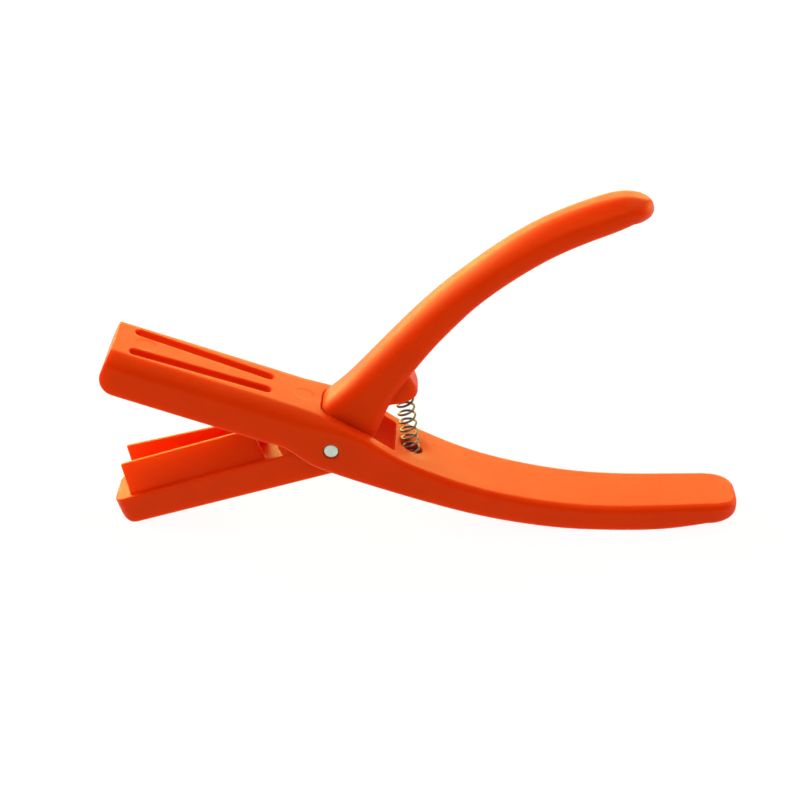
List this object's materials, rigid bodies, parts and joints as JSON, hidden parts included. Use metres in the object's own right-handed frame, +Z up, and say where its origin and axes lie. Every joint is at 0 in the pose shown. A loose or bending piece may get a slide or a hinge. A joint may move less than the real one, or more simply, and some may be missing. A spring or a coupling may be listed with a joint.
{
  "type": "spring clamp",
  "caption": "Pliers-type plastic hand clamp: squeezing the curved handles closes a ribbed lower jaw into a slotted channel upper jaw; a coil spring reopens it.",
  "frame": {"origin": "centre of the overall box, on the plane that the lower jaw's tip and the lower handle's belly stand on", "axes": "+X from the jaws towards the handles, +Y along the pivot pin, +Z up"},
  "size_m": [0.1696, 0.0232, 0.0942],
  "materials": {
    "orange_plastic": "satin moulded",
    "pin_steel": "ground",
    "spring_steel": "bright drawn wire"
  },
  "bodies": {
    "outer_lever": {"upper_jaw_lower_handle": "orange_plastic", "pivot_pin": "pin_steel", "return_spring": "spring_steel"},
    "inner_lever": {"lower_jaw_upper_handle": "orange_plastic"}
  },
  "joints": [
    {"name": "pivot", "type": "hinge", "parent": "outer_lever", "child": "inner_lever", "pos_m": [-0.02494, 0, 0.02554], "axis": [0, 1, 0], "range_deg": [0, 34], "stiffness_Nm_per_rad": 0.9, "springref_deg": -8.59, "deforming": ["return_spring"]}
  ]
}
